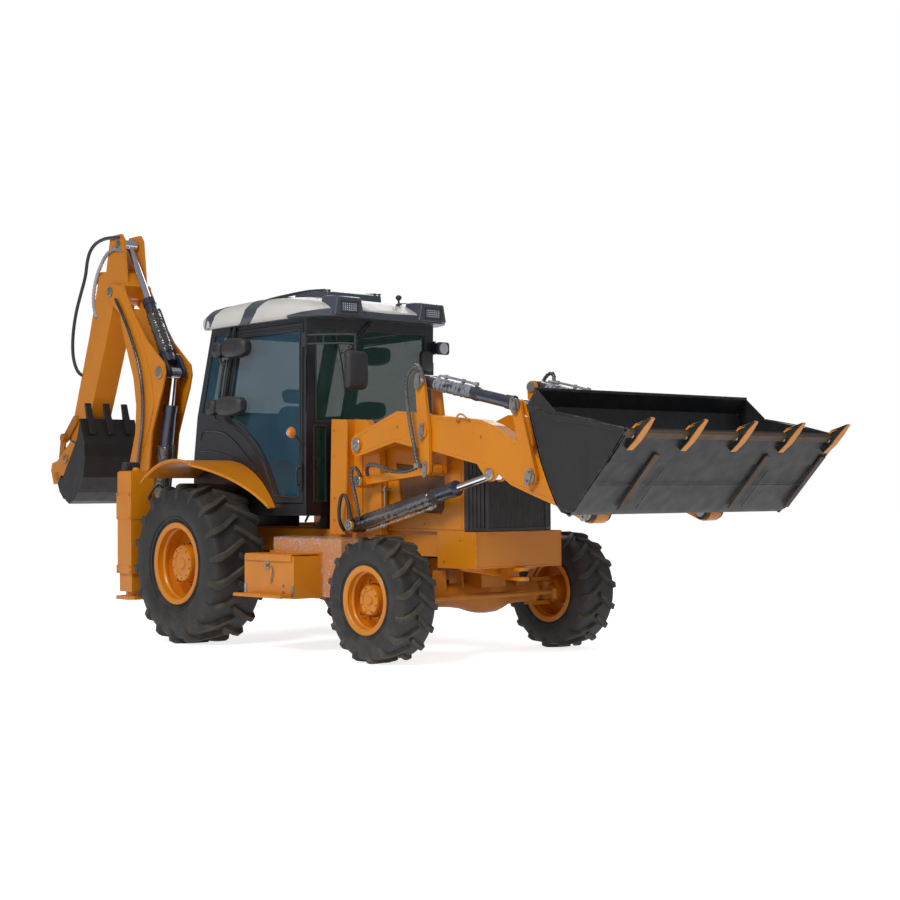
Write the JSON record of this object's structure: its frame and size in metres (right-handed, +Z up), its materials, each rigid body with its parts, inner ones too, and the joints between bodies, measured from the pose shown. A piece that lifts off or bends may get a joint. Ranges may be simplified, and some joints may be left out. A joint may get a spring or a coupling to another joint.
{
  "type": "backhoe loader",
  "caption": "Four-wheel backhoe loader with a front bucket on levelled lift arms, a cab, side-shift backhoe and drop stabilisers.",
  "frame": {"origin": "on the ground under the middle of the whole machine's box", "axes": "+X forward towards the loader bucket, +Y to the driver's left, +Z up"},
  "size_m": [7.942, 2.349, 3.59],
  "materials": {
    "orange_paint": "gloss",
    "black_paint": "satin",
    "roof_shell": "gloss",
    "tinted_glass": "clear",
    "tyre_rubber": "matte",
    "seat_fabric": "woven",
    "dark_plastic": "matte",
    "dark_mesh": "matte",
    "cylinder_paint": "gloss",
    "chromed_rod": "polished",
    "steel_pin": "brushed",
    "engine_iron": "matte"
  },
  "bodies": {
    "machine": {"main_frame": "orange_paint", "hood": "orange_paint", "grille": "dark_mesh", "drivetrain": "engine_iron", "cab_frame": "black_paint", "cab_roof": "roof_shell", "cab_glass": "tinted_glass", "seat_cushions": "seat_fabric", "cab_controls": "dark_plastic", "rear_fenders": "orange_paint", "front_axle": "orange_paint", "rear_axle": "orange_paint", "side_boxes": "orange_paint", "rear_frame": "orange_paint", "lamps_mirrors": "dark_plastic"},
    "lift_arms": {"lift_arms": "orange_paint"},
    "rear_levers": {"rear_levers": "orange_paint"},
    "levelling_links": {"levelling_links": "orange_paint"},
    "front_levers": {"front_levers": "orange_paint"},
    "bucket_links": {"bucket_links": "orange_paint"},
    "lift_barrels": {"lift_barrels": "cylinder_paint"},
    "lift_rods": {"lift_rods": "chromed_rod"},
    "tilt_barrels": {"tilt_barrels": "cylinder_paint"},
    "tilt_rods": {"tilt_rods": "chromed_rod"},
    "loader_bucket": {"loader_bucket": "black_paint"},
    "lever_pins": {"lever_pins": "steel_pin"},
    "lever_top_pins": {"lever_top_pins": "steel_pin"},
    "tilt_base_pins": {"tilt_base_pins": "steel_pin"},
    "bucket_pins": {"bucket_pins": "steel_pin"},
    "knuckle_right": {"knuckle_right": "orange_paint"},
    "knuckle_left": {"knuckle_left": "orange_paint"},
    "tie_rod": {"tie_rod": "orange_paint"},
    "toolbox_lid": {"toolbox_lid": "orange_paint"},
    "carriage": {"carriage": "orange_paint"},
    "kingpost": {"kingpost": "orange_paint"},
    "boom": {"boom": "orange_paint"},
    "boom_barrel": {"boom_barrel": "cylinder_paint"},
    "boom_rod": {"boom_rod": "chromed_rod"},
    "dipper": {"dipper": "orange_paint"},
    "dipper_barrel": {"dipper_barrel": "cylinder_paint"},
    "dipper_rod": {"dipper_rod": "chromed_rod"},
    "hoe_barrel": {"hoe_barrel": "cylinder_paint"},
    "hoe_rod": {"hoe_rod": "chromed_rod"},
    "hoe_rocker": {"hoe_rocker": "orange_paint"},
    "hoe_link": {"hoe_link": "orange_paint"},
    "hoe_bucket": {"hoe_bucket": "black_paint"},
    "stabiliser_leg_right": {"stabiliser_leg_right": "orange_paint"},
    "stabiliser_leg_left": {"stabiliser_leg_left": "orange_paint"},
    "door_right": {"door_right": "black_paint", "door_glass_right": "tinted_glass"},
    "wheel_front_right": {"rim_front_right": "orange_paint", "tyre_front_right": "tyre_rubber"},
    "wheel_rear_right": {"rim_rear_right": "orange_paint", "tyre_rear_right": "tyre_rubber"},
    "door_left": {"door_left": "black_paint", "door_glass_left": "tinted_glass"},
    "wheel_front_left": {"rim_front_left": "orange_paint", "tyre_front_left": "tyre_rubber"},
    "wheel_rear_left": {"rim_rear_left": "orange_paint", "tyre_rear_left": "tyre_rubber"}
  },
  "joints": [
    {"name": "loader_lift", "type": "hinge", "parent": "machine", "child": "lift_arms", "pos_m": [0.652, 0, 1.58], "axis": [0, -1, 0], "range_deg": [-19, 50]},
    {"name": "levelling_link_swing", "type": "hinge", "parent": "machine", "child": "levelling_links", "pos_m": [0.669, 0, 1.305], "axis": [0, -1, 0], "range_deg": [-20, 51]},
    {"name": "lift_barrel_swing", "type": "hinge", "parent": "machine", "child": "lift_barrels", "pos_m": [0.559, 0, 0.973], "axis": [0, -1, 0], "range_deg": [-16.25, 41.12]},
    {"name": "lift_rod_slide", "type": "slide", "parent": "lift_barrels", "child": "lift_rods", "axis": [0.9739, 0, 0.2269], "range_m": [-0.1658, 0.4299]},
    {"name": "rear_lever_level", "type": "hinge", "parent": "lift_arms", "child": "rear_levers", "pos_m": [1.458, 0, 1.657], "axis": [0, -1, 0], "range_deg": [-51, 20]},
    {"name": "tilt_base_pin_turn", "type": "hinge", "parent": "rear_levers", "child": "tilt_base_pins", "pos_m": [1.418, 0, 2.018], "axis": [0, -1, 0], "range_deg": [-21.69, 55.44]},
    {"name": "lever_pin_level", "type": "hinge", "parent": "lift_arms", "child": "lever_pins", "pos_m": [2.569, 0, 1.314], "axis": [0, -1, 0], "range_deg": [-33.5, 13.35]},
    {"name": "bucket_pin_level", "type": "hinge", "parent": "lift_arms", "child": "bucket_pins", "pos_m": [3.094, 0, 1.075], "axis": [0, -1, 0], "range_deg": [-33.5, 13.35]},
    {"name": "bucket_tilt", "type": "hinge", "parent": "bucket_pins", "child": "loader_bucket", "pos_m": [3.094, 0, 1.075], "axis": [0, 1, 0], "range_deg": [0, 65]},
    {"name": "front_lever_turn", "type": "hinge", "parent": "lever_pins", "child": "front_levers", "pos_m": [2.569, 0, 1.314], "axis": [0, 1, 0], "range_deg": [-1, 66]},
    {"name": "lever_top_pin_turn", "type": "hinge", "parent": "front_levers", "child": "lever_top_pins", "pos_m": [2.427, 0, 1.803], "axis": [0, -1, 0], "range_deg": [-13.35, 33.5]},
    {"name": "bucket_link_turn", "type": "hinge", "parent": "lever_top_pins", "child": "bucket_links", "pos_m": [2.427, 0, 1.803], "axis": [0, 1, 0], "range_deg": [-66, 1]},
    {"name": "tilt_barrel_swing", "type": "hinge", "parent": "tilt_base_pins", "child": "tilt_barrels", "pos_m": [1.418, 0, 2.018], "axis": [0, -1, 0], "range_deg": [-1, 2.63]},
    {"name": "tilt_rod_slide", "type": "slide", "parent": "tilt_barrels", "child": "tilt_rods", "axis": [0.978, 0, -0.2084], "range_m": [-0.004, 0.5593]},
    {"name": "steer", "type": "hinge", "parent": "machine", "child": "knuckle_right", "pos_m": [1.29, -0.72, 0.452], "axis": [0, 0, 1], "range_deg": [-30, 30]},
    {"name": "steer_left", "type": "hinge", "parent": "machine", "child": "knuckle_left", "pos_m": [1.29, 0.72, 0.452], "axis": [0, 0, 1], "range_deg": [-31, 31]},
    {"name": "tie_rod_slide", "type": "slide", "parent": "machine", "child": "tie_rod", "axis": [0, 1, 0], "range_m": [-0.1, 0.1]},
    {"name": "wheel_front_right_spin", "type": "hinge", "parent": "knuckle_right", "child": "wheel_front_right", "pos_m": [1.29, -0.905, 0.452], "axis": [0, 1, 0], "continuous": true},
    {"name": "wheel_rear_right_spin", "type": "hinge", "parent": "machine", "child": "wheel_rear_right", "pos_m": [-1.091, -0.914, 0.653], "axis": [0, 1, 0], "continuous": true},
    {"name": "wheel_front_left_spin", "type": "hinge", "parent": "knuckle_left", "child": "wheel_front_left", "pos_m": [1.29, 0.905, 0.452], "axis": [0, 1, 0], "continuous": true},
    {"name": "wheel_rear_left_spin", "type": "hinge", "parent": "machine", "child": "wheel_rear_left", "pos_m": [-1.091, 0.914, 0.653], "axis": [0, 1, 0], "continuous": true},
    {"name": "door_right_swing", "type": "hinge", "parent": "machine", "child": "door_right", "pos_m": [-1.101, -0.69, 1.94], "axis": [-0.28, 0, -0.96], "range_deg": [0, 75]},
    {"name": "door_left_swing", "type": "hinge", "parent": "machine", "child": "door_left", "pos_m": [-1.101, 0.69, 1.94], "axis": [0.28, 0, 0.96], "range_deg": [0, 75]},
    {"name": "toolbox_lid_lift", "type": "hinge", "parent": "machine", "child": "toolbox_lid", "pos_m": [0.098, -0.797, 0.759], "axis": [-1, 0, 0], "range_deg": [0, 85]},
    {"name": "side_shift", "type": "slide", "parent": "machine", "child": "carriage", "axis": [0, 1, 0], "range_m": [0, 1.1]},
    {"name": "swing", "type": "hinge", "parent": "carriage", "child": "kingpost", "pos_m": [-2.321, -0.55, 0.7], "axis": [0, 0, 1], "range_deg": [-90, 90]},
    {"name": "boom_lower", "type": "hinge", "parent": "kingpost", "child": "boom", "pos_m": [-2.621, -0.55, 0.76], "axis": [0, -1, 0], "range_deg": [-8, 85]},
    {"name": "boom_barrel_swing", "type": "hinge", "parent": "kingpost", "child": "boom_barrel", "pos_m": [-2.306, -0.55, 1.012], "axis": [0, -1, 0], "range_deg": [-9.56, 91.97]},
    {"name": "boom_rod_slide", "type": "slide", "parent": "boom_barrel", "child": "boom_rod", "axis": [0.1927, 0, 0.9813], "range_m": [-0.0547, 0.5429]},
    {"name": "dipper_reach", "type": "hinge", "parent": "boom", "child": "dipper", "pos_m": [-2.899, -0.55, 3.068], "axis": [0, 1, 0], "range_deg": [-5, 70]},
    {"name": "dipper_barrel_swing", "type": "hinge", "parent": "boom", "child": "dipper_barrel", "pos_m": [-2.056, -0.55, 2.285], "axis": [0, -1, 0], "range_deg": [-10.31, 1.67]},
    {"name": "dipper_rod_slide", "type": "slide", "parent": "dipper_barrel", "child": "dipper_rod", "axis": [-0.5319, 0, 0.8468], "range_m": [-0.4697, 0.0373]},
    {"name": "hoe_uncurl", "type": "hinge", "parent": "dipper", "child": "hoe_bucket", "pos_m": [-3.671, -0.55, 1.56], "axis": [0, 1, 0], "range_deg": [0, 110]},
    {"name": "rocker_turn", "type": "hinge", "parent": "dipper", "child": "hoe_rocker", "pos_m": [-3.601, -0.55, 1.92], "axis": [0, 1, 0], "range_deg": [-1, 111]},
    {"name": "hoe_link_turn", "type": "hinge", "parent": "hoe_rocker", "child": "hoe_link", "pos_m": [-3.781, -0.55, 1.76], "axis": [0, 1, 0], "range_deg": [-111, 1]},
    {"name": "hoe_barrel_swing", "type": "hinge", "parent": "dipper", "child": "hoe_barrel", "pos_m": [-3.231, -0.55, 3.235], "axis": [0, -1, 0], "range_deg": [-7.39, 1]},
    {"name": "hoe_rod_slide", "type": "slide", "parent": "hoe_barrel", "child": "hoe_rod", "axis": [-0.3494, 0, -0.937], "range_m": [-0.3839, 0.004]},
    {"name": "stabiliser_right_down", "type": "slide", "parent": "machine", "child": "stabiliser_leg_right", "axis": [0, 0, -1], "range_m": [0, 0.5]},
    {"name": "stabiliser_left_down", "type": "slide", "parent": "machine", "child": "stabiliser_leg_left", "axis": [0, 0, -1], "range_m": [0, 0.5]}
  ],
  "couplings": [
    {"joint": "levelling_link_swing", "follows": "loader_lift", "ratio": 1},
    {"joint": "lift_barrel_swing", "follows": "loader_lift", "ratio": 0.80239},
    {"joint": "lift_rod_slide", "follows": "loader_lift", "m_per_rad": 0.48801},
    {"joint": "rear_lever_level", "follows": "loader_lift", "ratio": -1},
    {"joint": "tilt_base_pin_turn", "follows": "loader_lift", "ratio": 1.0888},
    {"joint": "lever_pin_level", "follows": "loader_lift", "ratio": -0.65},
    {"joint": "bucket_pin_level", "follows": "loader_lift", "ratio": -0.65},
    {"joint": "front_lever_turn", "follows": "bucket_tilt", "ratio": 1},
    {"joint": "lever_top_pin_turn", "follows": "loader_lift", "ratio": 0.65},
    {"joint": "bucket_link_turn", "follows": "bucket_tilt", "ratio": -1},
    {"joint": "tilt_barrel_swing", "follows": "bucket_tilt", "ratio": 0.025068},
    {"joint": "tilt_rod_slide", "follows": "bucket_tilt", "m_per_rad": 0.48946},
    {"joint": "steer_left", "follows": "steer", "ratio": 1},
    {"joint": "tie_rod_slide", "follows": "steer", "m_per_rad": 0.15756},
    {"joint": "boom_barrel_swing", "follows": "boom_lower", "ratio": 1.0703},
    {"joint": "boom_rod_slide", "follows": "boom_lower", "m_per_rad": 0.36328},
    {"joint": "dipper_barrel_swing", "follows": "dipper_reach", "ratio": -0.13304},
    {"joint": "dipper_rod_slide", "follows": "dipper_reach", "m_per_rad": -0.38115},
    {"joint": "rocker_turn", "follows": "hoe_uncurl", "ratio": 1},
    {"joint": "hoe_link_turn", "follows": "hoe_uncurl", "ratio": -1},
    {"joint": "hoe_barrel_swing", "follows": "hoe_uncurl", "ratio": -0.058113},
    {"joint": "hoe_rod_slide", "follows": "hoe_uncurl", "m_per_rad": -0.1979}
  ]
}
